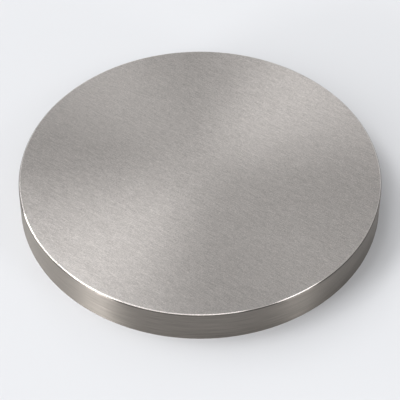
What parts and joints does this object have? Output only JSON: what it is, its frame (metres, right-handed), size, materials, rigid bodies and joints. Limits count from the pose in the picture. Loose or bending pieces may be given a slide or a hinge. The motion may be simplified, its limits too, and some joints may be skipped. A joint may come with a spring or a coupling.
{
  "type": "sputtering target",
  "caption": "Plain round disc of solid grey metal with broken edges, used up as the source plate in a sputter cathode.",
  "frame": {"origin": "centre of the back face, on the disc's axis", "axes": "+Z along the disc's axis, out of the sputtered face; +X and +Y lie in the back face and are free, as the disc is round"},
  "size_m": [0.0508, 0.0508, 0.0051],
  "materials": {
    "target_metal": "fine machined, satin"
  },
  "bodies": {
    "root": {"target_disc": "target_metal"}
  },
  "joints": []
}
